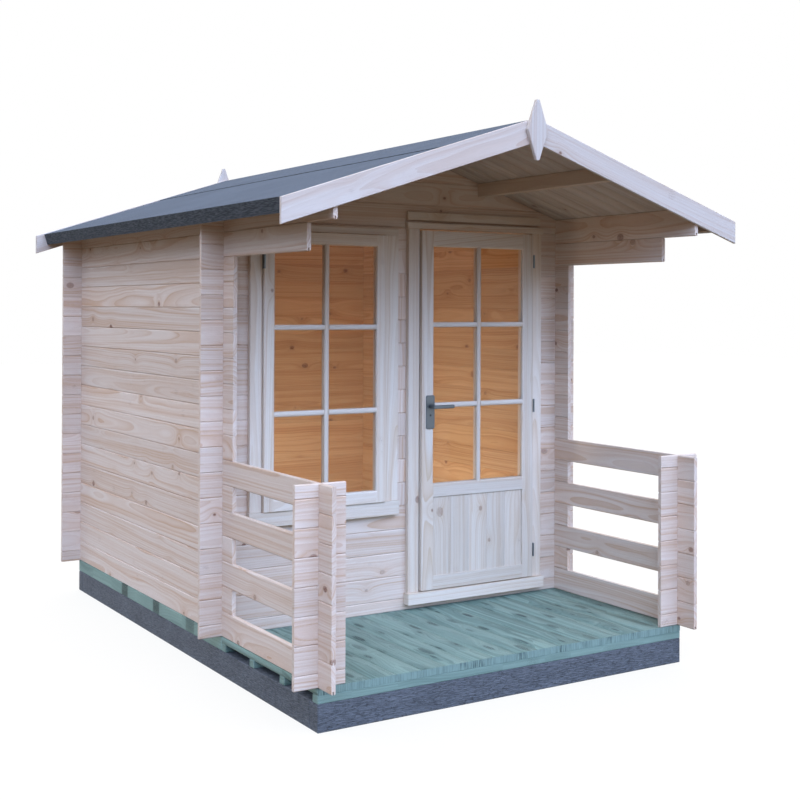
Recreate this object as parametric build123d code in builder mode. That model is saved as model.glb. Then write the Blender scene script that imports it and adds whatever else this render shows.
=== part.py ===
"""A small garden cabin of interlocking pine logs: one room, a verandah under the roof's overhang,
a window, a half-glazed door that opens outwards, and a treated deck on a dark plinth."""

import os
from math import cos, radians, tan

from build123d import *

# Driving dimensions in millimetres. +X is the viewer's right, the front faces -Y, the ground is z = 0.

# Logs
log_height = 114.0
log_thick = 19.0
log_gap = 0.3
tongue_thick = 6.0
tongue_height = 12.0
tongue_play = 0.5
side_courses = 17
rail_courses = 7

# Plan
cabin_width = 1933.0
cabin_depth = 2035.0
verandah_depth = 911.0
corner_stub = 108.0
post_wing = 104.0
bracket_reach = 803.0
top_log_rise = 11.0

# Base
plinth_height = 113.0
plinth_thick = 68.0
bearer_height = 64.0
bearer_width = 68.0
deck_thick = 30.0
joist_width = 45.0
deck_joist_count = 4
floor_thick = 16.0
floor_play = 3.0

# Roof
roof_pitch = 18.1
roof_board = 15.0
felt_thick = 3.0
eave_overhang = 161.5
ridge_felt_run = 437.0
fascia_thick = 16.0
fascia_depth = 60.0
purlin_inset = 441.0
purlin_thick = 44.0
purlin_depth = 69.0
barge_thick = 16.0
barge_depth = 103.0
barge_overhang = 69.0
barge_stand = 5.0
finial_height = 258.0
finial_width = 108.0
finial_thick = 18.0
finial_tip = 15.0

# Door and window frames, and the widths of wall beside and between them
window_margin = 103.0
pier_width = 61.0
door_margin = 115.0
frame_proud = 26.0
groove_depth = 22.0
stop_width = 12.0
glass_thick = 4.0
glass_bite = 8.0
glass_play = 0.4
glass_recess = 10.0

# Window, with heights above the foot of the walls
window_base = 478.0
window_top = 1871.0
window_jamb = 60.0
window_lock_jamb = 71.0
window_head_height = 33.5
window_sill_height = 69.0
window_sill_proud = 34.0
window_sill_lug = 5.0
sash_reveal = 3.0
sash_lock_reveal = 8.0
sash_stile = 53.5
sash_rail = 57.0
sash_top_rail = 55.5
sash_proud = 18.0
sash_thick = 36.0

# Door
leaf_width = 688.5
leaf_height = 1775.5
leaf_thick = 40.0
leaf_proud = 18.0
leaf_stile = 69.0
leaf_top_rail = 78.0
leaf_lock_rail = 66.0
leaf_bottom_rail = 69.0
leaf_panel_height = 388.0
leaf_panel_thick = 18.0
leaf_panel_recess = 6.0
leaf_clearance = 5.0
head_reveal = 7.5
hinge_reveal = 5.0
lock_reveal = 5.5
door_jamb = 62.0
door_head_height = 31.0
door_head_proud = 30.0
door_lug = 8.0
door_sill_base = 29.0
door_sill_top = 86.5
door_sill_proud = 45.0
door_cover_height = 41.0
door_cover_thick = 18.0
door_cover_gap = 12.5

# Hinges
hinge_height = 68.0
hinge_radius = 4.0
hinge_sides = 12
hinge_pin_radius = 2.2
hinge_pin_sides = 8
hinge_play = 0.4
hinge_plate = 2.0
hinge_plate_width = 36.0
hinge_stand = 0.6
hinge_inset = 105.0

# Handle
handle_height = 906.0
handle_setback = 47.0
handle_plate_width = 49.0
handle_plate_height = 165.0
handle_plate_thick = 6.0
handle_plate_round = 8.0
handle_plate_drop = 27.0
keyhole_drop = 43.0
keyhole_radius = 4.0
keyhole_sides = 8
lever_reach = 114.0
lever_height = 18.0
lever_thick = 11.0
lever_stand = 34.0
lever_gap = 0.5
lever_neck_radius = 8.0
spindle_radius = 4.5
spindle_play = 0.6

# One overrun serves all cuts
overrun = 40.0

# Places worked out from the sizes above
rise = tan(radians(roof_pitch))
plumb = 1 / cos(radians(roof_pitch))
wall_base = plinth_height + bearer_height
front_face = (verandah_depth - cabin_depth) / 2
back_face = front_face + cabin_depth
post_face = front_face - verandah_depth
roof_front = post_face - corner_stub
roof_back = back_face + corner_stub
roof_length = roof_back - roof_front
side_face = cabin_width / 2
room_side = side_face - log_thick
wall_end = side_face + corner_stub
side_middle = side_face - log_thick / 2
front_middle = front_face + log_thick / 2
back_middle = back_face - log_thick / 2
post_middle = post_face + log_thick / 2
wall_top = wall_base + side_courses * log_height + top_log_rise
ridge_under = wall_top + rise * side_face
eave_run = side_face + eave_overhang
barge_run = eave_run + barge_overhang
standing = (Align.CENTER, Align.MIN, Align.MIN)
centred = (Align.CENTER, Align.CENTER, Align.MIN)


def course(number):
    """Height of the bottom of a side course, counted from 0."""
    return wall_base + number * log_height


def cross_rows(first, last):
    """Bottom and top of front and back logs, whose courses lie half a course above the sides'."""
    return [(course(row - 1 / 2), course(row + 1 / 2)) for row in range(first, last + 1)]


def roof_under(across):
    """Height of the roof boards' underside at a distance from the centre plane."""
    return ridge_under - rise * abs(across)


def side_plane(across, back_end):
    """Plane at the back end of pieces that run forwards: local x along X, local y up."""
    return Plane(origin=(across, back_end, 0), x_dir=(1, 0, 0), z_dir=(0, -1, 0))


def end_plane(left_end, along):
    """Plane at the left end of pieces that run to the right: local x along Y, local y up."""
    return Plane(origin=(left_end, along, 0), x_dir=(0, 1, 0), z_dir=(1, 0, 0))


def log_section(bottom, top):
    """One log end-on about its middle line, with the groove along its underside."""
    face = log_thick / 2
    slot = tongue_thick / 2 + tongue_play
    groove_roof = bottom + tongue_height + tongue_play
    groove = [(-slot, bottom), (-slot, groove_roof), (slot, groove_roof), (slot, bottom)]
    crown = top - log_gap
    Polygon((-face, crown), (-face, bottom), *groove, (face, bottom), (face, crown), align=None)


def tongue_section(top):
    """The tongue that stands in the groove of the log above, rooted in its own log."""
    with Locations((0, top - log_gap)):
        Rectangle(tongue_thick, 2 * tongue_height)


def notch(depth):
    """Room for a crossing log, cut upwards from the underside of a log."""
    slot = log_thick + 2 * log_gap
    with Locations((0, 0, -log_gap / 2)):
        Box(slot, slot, depth + log_gap / 2, align=centred, mode=Mode.SUBTRACT)


def top_notch():
    """Room in the top of a log for the neck of the last log that crosses it."""
    slot = log_thick + 2 * log_gap
    Box(slot, slot, log_height, align=centred, mode=Mode.SUBTRACT)


def trim_under_roof():
    """Cuts what reaches above the roof boards' underside, with room to seat."""
    reach = barge_run + overrun
    eaves = roof_under(reach) - log_gap
    top = ridge_under + overrun
    with BuildSketch(side_plane(0, roof_back + overrun)) as above_roof:
        Polygon((0, ridge_under - log_gap), (reach, eaves), (reach, top), (-reach, top), (-reach, eaves),
                align=None)
    extrude(above_roof.sketch, amount=roof_length + 2 * overrun, mode=Mode.SUBTRACT)


def end_logs(left_end, right_end, middle, rows, depth=log_height / 2):
    """Logs laid from side to side, notched over the side walls, with tongues inside the room."""
    with BuildPart() as wall:
        with BuildSketch(end_plane(left_end, middle)):
            for bottom, top in rows:
                log_section(bottom, top)
        extrude(amount=right_end - left_end)
        tongue_left = max(left_end, log_gap - room_side)
        tongue_right = min(right_end, room_side - log_gap)
        with BuildSketch(end_plane(tongue_left, middle)):
            for bottom, top in rows:
                tongue_section(top)
        extrude(amount=tongue_right - tongue_left)
        crossings = [x for x in (-side_middle, side_middle) if left_end < x < right_end]
        seats = [(x, middle, bottom) for x in crossings for bottom, top in rows if bottom > wall_base]
        if seats:
            with Locations(*seats):
                notch(depth)
    return wall


pieces = {}

# Plinth: dark beams on edge, flush with the deck and the outer faces of the walls
with BuildPart() as plinth_ends:
    with Locations((0, post_face), (0, back_face - plinth_thick)):
        Box(cabin_width, plinth_thick, plinth_height, align=standing)
pieces["plinth_ends"] = plinth_ends

side_beam = back_face - post_face - 2 * plinth_thick - 2 * log_gap
beam_x = side_face - plinth_thick / 2
beam_y = post_face + plinth_thick + log_gap
with BuildPart() as plinth_sides:
    with Locations((-beam_x, beam_y), (beam_x, beam_y)):
        Box(plinth_thick, side_beam, plinth_height, align=standing)
pieces["plinth_sides"] = plinth_sides

# Floor frame of the room: two long bearers that carry the side walls, with joists between them
bearer_x = side_face - bearer_width / 2
joist_length = cabin_width - 2 * bearer_width - 2 * log_gap
joist_last = cabin_depth - bearer_width
with BuildPart() as floor_frame:
    with Locations((-bearer_x, front_face, plinth_height), (bearer_x, front_face, plinth_height)):
        Box(bearer_width, cabin_depth, bearer_height, align=standing)
    for joist_y in (front_face, front_face + joist_last / 2, front_face + joist_last):
        with Locations((0, joist_y, plinth_height)):
            Box(joist_length, bearer_width, bearer_height, align=standing)
pieces["floor_frame"] = floor_frame

with BuildPart() as cabin_floor:
    with Locations((0, front_face + log_thick + floor_play, wall_base)):
        floor_length = cabin_depth - 2 * log_thick - 2 * floor_play
        Box(2 * room_side - 2 * floor_play, floor_length, floor_thick, align=standing)
pieces["cabin_floor"] = cabin_floor

# Verandah: joists from side to side, and the deck on them
joist_height = bearer_height - deck_thick
joist_step = (verandah_depth - joist_width - log_gap) / (deck_joist_count - 1)
with BuildPart() as deck_joists:
    for number in range(deck_joist_count):
        with Locations((0, post_face + number * joist_step, plinth_height)):
            Box(cabin_width, joist_width, joist_height, align=standing)
pieces["deck_joists"] = deck_joists

with BuildPart() as verandah_deck:
    with Locations((0, post_face, plinth_height + joist_height)):
        Box(cabin_width, verandah_depth - log_gap, deck_thick, align=standing)
pieces["verandah_deck"] = verandah_deck

# Side walls: every second low course runs on to the post as a rail, the two top ones carry the roof
rail_numbers = range(0, rail_courses, 2)
plain_numbers = [number for number in range(side_courses - 2) if number not in rail_numbers]
side_runs = [(rail_numbers, roof_front), (plain_numbers, front_face - corner_stub)]
side_runs += [([side_courses - 2], front_face - bracket_reach)]
with BuildPart() as left_wall:
    for numbers, front_end in side_runs:
        with BuildSketch(side_plane(-side_middle, roof_back)):
            for number in numbers:
                log_section(course(number), course(number + 1))
        extrude(amount=roof_back - front_end)
    with BuildSketch(side_plane(-side_middle, roof_back)):
        log_section(course(side_courses - 1), roof_under(room_side) + log_gap)
    extrude(amount=roof_length)
    with BuildSketch(side_plane(-side_middle, back_face - log_thick - log_gap)):
        for number in range(side_courses - 1):
            tongue_section(course(number + 1))
    extrude(amount=cabin_depth - 2 * log_thick - 2 * log_gap)
    corners = [(y, course(number)) for y in (front_middle, back_middle) for number in range(side_courses)]
    rail_ends = [(post_middle, course(number)) for number in rail_numbers]
    with Locations(*[(-side_middle, y, z) for y, z in corners + rail_ends]):
        notch(log_height / 2)
    tie_seat = course(side_courses - 1 / 4) - log_gap
    cap_seat = course(rail_courses - 1 / 4) - log_gap
    with Locations((-side_middle, front_middle, tie_seat), (-side_middle, back_middle, tie_seat)):
        top_notch()
    trim_under_roof()
    with Locations((-side_middle, post_middle, cap_seat)):
        top_notch()
pieces["left_wall"] = left_wall

with BuildPart() as right_wall:
    mirror(left_wall.part, about=Plane.YZ)
pieces["right_wall"] = right_wall

# Verandah posts: a stack of short logs across each rail end, with blocks between the rails
post_rows = cross_rows(1, rail_courses - 1)
post_ends = [(course(0), course(1 / 2)), (course(rail_courses - 1 / 2), course(rail_courses))]
with BuildPart() as post_stack:
    with BuildSketch(end_plane(-side_face - post_wing, post_middle)):
        for bottom, top in post_rows + post_ends:
            log_section(bottom, top)
    extrude(amount=log_thick + 2 * post_wing)
    with Locations(*[(-side_middle, post_middle, bottom) for bottom, top in post_rows]):
        notch(log_height / 2)
    with Locations((-side_middle, post_middle, course(rail_courses - 1 / 2))):
        notch(log_height / 4)

with BuildPart() as post_blocks:
    with BuildSketch(side_plane(-side_middle, post_face + log_thick + post_wing)):
        for number in range(1, rail_courses, 2):
            log_section(course(number), course(number + 1))
    extrude(amount=corner_stub + log_thick + post_wing)
    with Locations(*[(-side_middle, post_middle, course(number)) for number in range(1, rail_courses, 2)]):
        notch(log_height / 2)

with BuildPart() as left_post:
    add(post_stack.part)
    add(post_blocks.part)
pieces["left_post"] = left_post

with BuildPart() as right_post:
    mirror(left_post.part, about=Plane.YZ)
pieces["right_post"] = right_post

# Door frame and leaf, placed from the right wall of the room
door_outer_right = room_side - door_margin
door_right = door_outer_right - door_jamb
leaf_right = door_right - hinge_reveal
leaf_left = leaf_right - leaf_width
leaf_middle = leaf_right - leaf_width / 2
door_left = leaf_left - lock_reveal
door_outer_left = door_left - door_jamb
frame_front = front_face - frame_proud
frame_back = front_face + log_thick + frame_proud
leaf_front = frame_front - leaf_proud
leaf_back = leaf_front + leaf_thick
leaf_base = wall_base + door_sill_top + leaf_clearance
leaf_top = leaf_base + leaf_height
door_head_base = leaf_top + head_reveal
door_head_top = door_head_base + door_head_height
doorway_left = door_outer_left + groove_depth
doorway_right = door_outer_right - groove_depth
doorway_top = door_head_top - groove_depth

# Window frame, which fills the wall between its left margin and the pier beside the door
window_left = window_margin - room_side
window_right = door_outer_left - pier_width
window_middle = (window_left + window_right) / 2
window_inner_left = window_left + window_jamb
window_inner_right = window_right - window_lock_jamb
window_sill_base = wall_base + window_base
window_sill_top = window_sill_base + window_sill_height
window_head_top = wall_base + window_top
window_head_base = window_head_top - window_head_height
window_void_left = window_left + groove_depth
window_void_right = window_right - groove_depth
window_void_top = window_head_top - groove_depth

# Front wall: a half log right across, then logs that end in the grooves of the door and window frames
rows_below = int((window_base + window_sill_height) / log_height - 1 / 2)
rows_beside = int((window_top - groove_depth) / log_height - 1 / 2)
head_row = side_courses - 1
log_end_left = doorway_left - log_gap
log_end_right = doorway_right + log_gap


def cut_openings():
    """Cuts the window's and the door's voids out of the logs over them."""
    window_void = window_void_right - window_void_left + 2 * log_gap
    with Locations((window_middle, front_middle, window_void_top)):
        Box(window_void, log_thick + overrun, window_void_top - window_sill_top,
            align=(Align.CENTER, Align.CENTER, Align.MAX), mode=Mode.SUBTRACT)
    doorway = doorway_right - doorway_left + 2 * log_gap
    with Locations(((doorway_left + doorway_right) / 2, front_middle, doorway_top)):
        Box(doorway, log_thick + overrun, doorway_top - leaf_base,
            align=(Align.CENTER, Align.CENTER, Align.MAX), mode=Mode.SUBTRACT)


half_row = [(course(0), course(1 / 2))]
front_half_log = end_logs(-wall_end, wall_end, front_middle, half_row)
front_low_logs = end_logs(-wall_end, log_end_left, front_middle, cross_rows(1, rows_below))
with BuildPart() as front_wall_below_window:
    add(front_half_log.part)
    add(front_low_logs.part)
pieces["front_wall_below_window"] = front_wall_below_window

beside_rows = cross_rows(rows_below + 1, rows_beside)
log_end_window_left = window_void_left - log_gap
log_end_window_right = window_void_right + log_gap
pieces["front_wall_left"] = end_logs(-wall_end, log_end_window_left, front_middle, beside_rows)
pieces["front_wall_between"] = end_logs(log_end_window_right, log_end_left, front_middle, beside_rows)
pieces["front_wall_right"] = end_logs(log_end_right, wall_end, front_middle, cross_rows(1, head_row))

tie_row = cross_rows(side_courses, side_courses)
front_head_logs = end_logs(-wall_end, log_end_left, front_middle, cross_rows(rows_beside + 1, head_row))
front_tie_log = end_logs(-wall_end, wall_end, front_middle, tie_row, log_height / 4)
with BuildPart() as front_wall_head:
    add(front_head_logs.part)
    add(front_tie_log.part)
    cut_openings()
    trim_under_roof()
pieces["front_wall_head"] = front_wall_head

# Back wall: whole logs, with no opening
back_logs = end_logs(-wall_end, wall_end, back_middle, half_row + cross_rows(1, head_row))
back_tie_log = end_logs(-wall_end, wall_end, back_middle, tie_row, log_height / 4)
with BuildPart() as back_wall:
    add(back_logs.part)
    add(back_tie_log.part)
    trim_under_roof()
pieces["back_wall"] = back_wall

# Gables: the same logs cut to the roof's slope, with pockets for the purlins
purlin_base = roof_under(purlin_inset) - purlin_depth
purlin_middle = purlin_inset + purlin_thick / 2
gable_count = int((ridge_under - course(side_courses + 1 / 2)) / log_height)
gable_rows = cross_rows(side_courses + 1, side_courses + gable_count)
gable_rows += [(course(side_courses + gable_count + 1 / 2), ridge_under)]
for label, middle in (("front_gable", front_middle), ("back_gable", back_middle)):
    gable_logs = end_logs(-side_face, side_face, middle, gable_rows)
    with BuildPart() as gable:
        add(gable_logs.part)
        pocket_base = purlin_base - log_gap
        with Locations((-purlin_middle, middle, pocket_base), (purlin_middle, middle, pocket_base)):
            Box(purlin_thick + 2 * log_gap, log_thick + overrun, purlin_depth + overrun, align=centred,
                mode=Mode.SUBTRACT)
        if label == "front_gable":
            cut_openings()
        trim_under_roof()
    pieces[label] = gable

# Purlins: one under each slope, from barge board to barge board, their tops cut to the slope
roof_end = roof_back - log_gap
roof_run = roof_length - 2 * log_gap
purlin_outer = purlin_inset + purlin_thick
with BuildPart() as purlins:
    with BuildSketch(side_plane(0, roof_end)):
        crown = [(x, roof_under(x) - log_gap) for x in (purlin_outer, purlin_inset)]
        Polygon((purlin_inset, purlin_base), (purlin_outer, purlin_base), *crown, align=None)
    extrude(amount=roof_run)
    mirror(about=Plane.YZ)
pieces["purlins"] = purlins

# Roof: boards, eave fascias, felt turned down over the fascias, and a ridge strip over both slopes
slope_plane = Plane(origin=(0, roof_end, ridge_under), x_dir=(1, 0, -rise), z_dir=(0, -1, 0))
slope_length = eave_run * plumb
felt_edge = slope_length + fascia_thick
felt_foot = roof_board - fascia_depth
roof_top = roof_board + felt_thick
ridge_felt_under = ridge_under + roof_top * plumb
with BuildPart() as right_roof_boards:
    with BuildSketch(slope_plane):
        eave_cut = [(slope_length, 0), (slope_length, roof_board)]
        Polygon((log_gap, 0), *eave_cut, (log_gap - roof_board * rise, roof_board), align=None)
    extrude(amount=roof_run)
pieces["right_roof_boards"] = right_roof_boards

with BuildPart() as left_roof_boards:
    mirror(right_roof_boards.part, about=Plane.YZ)
pieces["left_roof_boards"] = left_roof_boards

with BuildPart() as eave_fascias:
    with BuildSketch(slope_plane):
        with Locations((slope_length, roof_board)):
            Rectangle(fascia_thick, fascia_depth, align=(Align.MIN, Align.MAX))
    extrude(amount=roof_run)
    mirror(about=Plane.YZ)
pieces["eave_fascias"] = eave_fascias

with BuildPart() as roof_felt:
    with BuildSketch(slope_plane):
        inner = [(log_gap - roof_board * rise, roof_board), (felt_edge, roof_board), (felt_edge, felt_foot)]
        outer = [(felt_edge + felt_thick, felt_foot), (felt_edge + felt_thick, roof_top)]
        Polygon(*inner, *outer, (log_gap - roof_top * rise, roof_top), align=None)
    extrude(amount=roof_run)
    mirror(about=Plane.YZ)
pieces["roof_felt"] = roof_felt

with BuildPart() as ridge_felt:
    with BuildSketch(side_plane(0, roof_end)):
        strip_foot = ridge_felt_under - rise * ridge_felt_run
        strip = felt_thick * plumb
        under = [(ridge_felt_run, strip_foot), (0, ridge_felt_under), (-ridge_felt_run, strip_foot)]
        over = [(x, z + strip) for x, z in reversed(under)]
        Polygon(*under, *over, align=None)
    extrude(amount=roof_run)
pieces["ridge_felt"] = ridge_felt

# Barge boards: plumb-cut at both ends over the roof's edge, with a finial over each pair's joint
barge_top = ridge_felt_under + barge_stand
barge_foot = barge_top - rise * barge_run
barge_upper = [(log_gap, barge_top), (barge_run, barge_foot)]
barge_lower = [(x, z - barge_depth) for x, z in reversed(barge_upper)]
finial_tips = [(x * finial_tip / 2, z * finial_height / 2) for x, z in ((1, 1), (1, -1), (-1, -1), (-1, 1))]
finial_points = finial_tips[:1] + [(finial_width / 2, 0)] + finial_tips[1:3] + [(-finial_width / 2, 0)]
finial_points += finial_tips[3:]
roof_edges = [("front", roof_front, roof_front - barge_thick)]
roof_edges += [("back", roof_back + barge_thick, roof_back + barge_thick + finial_thick)]
for side, barge_back, finial_back in roof_edges:
    with BuildPart() as barge_boards:
        with BuildSketch(side_plane(0, barge_back)):
            Polygon(*barge_upper, *barge_lower, align=None)
        extrude(amount=barge_thick)
        mirror(about=Plane.YZ)
    pieces[f"{side}_barge_boards"] = barge_boards
    with BuildPart() as finial:
        with BuildSketch(side_plane(0, finial_back)):
            with Locations((0, barge_top - barge_depth / 2)):
                Polygon(*finial_points, align=None)
        extrude(amount=finial_thick)
    pieces[f"{side}_finial"] = finial

# Frames: the groove that takes the logs' ends lies in the middle of each member
groove_near = front_face - log_gap
groove_far = front_face + log_thick + log_gap


def jamb_section(outer, inner, rebate):
    """A jamb in plan: a groove for the logs outside, a stop behind the leaf or sash inside."""
    turn = 1 if inner > outer else -1
    floor = outer + turn * groove_depth
    nose = inner + turn * stop_width
    groove = [(outer, groove_far), (floor, groove_far), (floor, groove_near), (outer, groove_near)]
    stop = [(inner, frame_front), (inner, rebate), (nose, rebate), (nose, frame_back)]
    Polygon((outer, frame_back), *groove, (outer, frame_front), *stop, align=None)


def head_section(base, top, front):
    """A head from the side, with its groove above."""
    floor = top - groove_depth - log_gap
    groove = [(groove_near, top), (groove_near, floor), (groove_far, floor), (groove_far, top)]
    Polygon((front, base), (front, top), *groove, (frame_back, top), (frame_back, base), align=None)


def sill_section(base, top, front, roof):
    """A sill from the side, with a groove below that reaches up to the given height."""
    groove = [(groove_far, base), (groove_far, roof), (groove_near, roof), (groove_near, base)]
    Polygon((frame_back, top), (frame_back, base), *groove, (front, base), (front, top), align=None)


def pass_logs(left_end, right_end, level):
    """Lets the logs beside an opening run through the two ends of a head or a sill."""
    slot = groove_far - groove_near
    with Locations((left_end, front_middle, level)):
        Box(door_jamb + overrun, slot, log_height, align=(Align.MAX, Align.CENTER, Align.CENTER),
            mode=Mode.SUBTRACT)
    with Locations((right_end, front_middle, level)):
        Box(door_jamb + overrun, slot, log_height, align=(Align.MIN, Align.CENTER, Align.CENTER),
            mode=Mode.SUBTRACT)


# Window frame: grooved jambs between a head and a sill that overhangs
sash_front = frame_front - sash_proud
sash_back = sash_front + sash_thick
sash_stop = sash_back + log_gap
with BuildPart() as window_jambs:
    with BuildSketch(Plane.XY.offset(window_sill_top + log_gap)):
        jamb_section(window_left, window_inner_left, sash_stop)
        jamb_section(window_right, window_inner_right, sash_stop)
    extrude(amount=window_head_base - window_sill_top - 2 * log_gap)
pieces["window_jambs"] = window_jambs

with BuildPart() as window_head:
    with BuildSketch(end_plane(window_left, 0)):
        head_section(window_head_base, window_head_top, frame_front)
    extrude(amount=window_right - window_left)
    pass_logs(window_void_left, window_void_right, window_head_base)
pieces["window_head"] = window_head

with BuildPart() as window_sill:
    with BuildSketch(end_plane(window_left - window_sill_lug, 0)):
        tongue_room = course(rows_below + 1 / 2) + tongue_height
        sill_section(window_sill_base, window_sill_top, front_face - window_sill_proud, tongue_room)
    extrude(amount=window_right - window_left + 2 * window_sill_lug)
    pass_logs(window_void_left, window_void_right, window_sill_top)
pieces["window_sill"] = window_sill


def glazed_ring(middle_x, base, width, height, front, thick, stile, bottom_rail, top_rail):
    """A frame of stiles and rails with a slot all round its opening; returns the opening's place and size."""
    open_width = width - 2 * stile
    open_height = height - bottom_rail - top_rail
    middle_y = front + glass_recess + glass_thick / 2
    middle = (middle_x, middle_y, base + bottom_rail + open_height / 2)
    with Locations((middle_x, front, base)):
        Box(width, thick, height, align=standing)
    with Locations(middle):
        Box(open_width, 2 * thick + overrun, open_height, mode=Mode.SUBTRACT)
        Box(open_width + 2 * glass_bite, glass_thick + 2 * glass_play, open_height + 2 * glass_bite,
            mode=Mode.SUBTRACT)
    return middle, open_width, open_height


def pane(middle, open_width, open_height):
    """A sheet of glass that stands in the slot of its ring."""
    edge = 2 * (glass_bite - glass_play)
    with Locations(middle):
        Box(open_width + edge, glass_thick, open_height + edge)


def knuckle(centre, base, height):
    """One barrel of a hinge."""
    with BuildSketch(Plane.XY.offset(base)) as barrel:
        with Locations(centre):
            RegularPolygon(hinge_radius, hinge_sides)
    extrude(barrel.sketch, amount=height)


# Sash: one light in the frame, with its hinges on the left
sash_left = window_inner_left + sash_reveal
sash_width = window_inner_right - sash_lock_reveal - sash_left
sash_middle = sash_left + sash_width / 2
sash_base = window_sill_top + log_gap
sash_height = window_head_base - sash_base - sash_reveal
with BuildPart() as window_sash:
    window_light = glazed_ring(sash_middle, sash_base, sash_width, sash_height, sash_front, sash_thick,
                               sash_stile, sash_rail, sash_top_rail)
pieces["window_sash"] = window_sash

with BuildPart() as window_glass:
    pane(*window_light)
pieces["window_glass"] = window_glass

sash_knuckle = (sash_left - sash_reveal / 2, sash_front - hinge_radius - hinge_stand)
with BuildPart() as window_hinges:
    for hinge_base in (sash_base + hinge_inset, sash_base + sash_height - hinge_inset - hinge_height):
        knuckle(sash_knuckle, hinge_base, hinge_height)
        with Locations((*sash_knuckle, hinge_base)):
            Box(hinge_plate, hinge_plate_width, hinge_height, align=standing)
pieces["window_hinges"] = window_hinges

# Door frame: grooved jambs with a stop behind the leaf, a head, a sill over the half log, a cover board
door_stop = leaf_back + leaf_clearance
door_outer = door_outer_right - door_outer_left
sill_top = wall_base + door_sill_top
with BuildPart() as door_jambs:
    with BuildSketch(Plane.XY.offset(sill_top)):
        jamb_section(door_outer_left, door_left, door_stop)
        jamb_section(door_outer_right, door_right, door_stop)
    extrude(amount=door_head_base - sill_top - log_gap)
pieces["door_jambs"] = door_jambs

with BuildPart() as door_head:
    with BuildSketch(end_plane(door_outer_left - door_lug, 0)):
        head_section(door_head_base, door_head_top, front_face - door_head_proud)
    extrude(amount=door_outer + 2 * door_lug)
    pass_logs(doorway_left, doorway_right, door_head_base)
pieces["door_head"] = door_head

with BuildPart() as door_sill:
    with BuildSketch(end_plane(door_outer_left - door_lug, 0)):
        tongue_room = course(1 / 2) + tongue_height
        sill_section(wall_base + door_sill_base, sill_top, front_face - door_sill_proud, tongue_room)
    extrude(amount=door_outer + 2 * door_lug)
    pass_logs(doorway_left, doorway_right, sill_top)
pieces["door_sill"] = door_sill

with BuildPart() as door_cover_board:
    with Locations(((door_outer_left + door_outer_right) / 2, front_face, door_head_top + door_cover_gap)):
        Box(door_outer, door_cover_thick, door_cover_height, align=(Align.CENTER, Align.MAX, Align.MIN))
pieces["door_cover_board"] = door_cover_board

# Door leaf: stiles and rails, glass above, a board panel below
spindle_x = leaf_left + handle_setback
spindle_z = leaf_base + handle_height
light_base = leaf_bottom_rail + leaf_panel_height + leaf_lock_rail
panel_width = leaf_width - 2 * leaf_stile
panel_y = leaf_front + leaf_panel_recess + leaf_panel_thick / 2
panel_middle = (leaf_middle, panel_y, leaf_base + leaf_bottom_rail + leaf_panel_height / 2)
with BuildPart() as door_leaf:
    door_light = glazed_ring(leaf_middle, leaf_base, leaf_width, leaf_height, leaf_front, leaf_thick,
                             leaf_stile, light_base, leaf_top_rail)
    with Locations(panel_middle):
        Box(panel_width, leaf_thick + overrun, leaf_panel_height, mode=Mode.SUBTRACT)
        Box(panel_width + 2 * glass_bite, leaf_panel_thick + 2 * glass_play, leaf_panel_height + 2 * glass_bite,
            mode=Mode.SUBTRACT)
    with BuildSketch(side_plane(spindle_x, leaf_back)):
        with Locations((0, spindle_z)):
            Circle(spindle_radius + spindle_play)
    extrude(amount=leaf_thick, mode=Mode.SUBTRACT)
pieces["door_leaf"] = door_leaf

with BuildPart() as door_panel:
    panel_edge = 2 * (glass_bite - glass_play)
    with Locations(panel_middle):
        Box(panel_width + panel_edge, leaf_panel_thick, leaf_panel_height + panel_edge)
pieces["door_panel"] = door_panel

with BuildPart() as door_glass:
    pane(*door_light)
pieces["door_glass"] = door_glass

# Handle: a plate on each face of the leaf, and two levers on one spindle
with BuildPart() as handle_plates:
    for plate_back in (leaf_front, leaf_back + handle_plate_thick):
        with BuildSketch(side_plane(spindle_x, plate_back)):
            with Locations((0, spindle_z - handle_plate_drop)):
                RectangleRounded(handle_plate_width, handle_plate_height, handle_plate_round)
            with Locations((0, spindle_z)):
                Circle(lever_neck_radius + spindle_play, mode=Mode.SUBTRACT)
            with Locations((0, spindle_z - keyhole_drop)):
                RegularPolygon(keyhole_radius, keyhole_sides, mode=Mode.SUBTRACT)
        extrude(amount=handle_plate_thick)
pieces["handle_plates"] = handle_plates

lever_front = leaf_front - handle_plate_thick - lever_stand
lever_back = leaf_back + handle_plate_thick + lever_stand + lever_thick
neck_length = handle_plate_thick + lever_stand - lever_gap
with BuildPart() as door_levers:
    with BuildSketch(side_plane(spindle_x, lever_back)):
        with Locations((0, spindle_z)):
            Circle(spindle_radius)
    extrude(amount=lever_back - lever_front)
    for neck_back, arm_back in ((leaf_front - lever_gap, lever_front), (lever_back - lever_thick, lever_back)):
        with BuildSketch(side_plane(spindle_x, neck_back)):
            with Locations((0, spindle_z)):
                Circle(lever_neck_radius)
        extrude(amount=neck_length)
        with BuildSketch(side_plane(spindle_x, arm_back)):
            with Locations((lever_reach / 2 - lever_height / 4, spindle_z)):
                SlotOverall(lever_reach + lever_height / 2, lever_height)
        extrude(amount=lever_thick)
pieces["door_levers"] = door_levers

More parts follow.
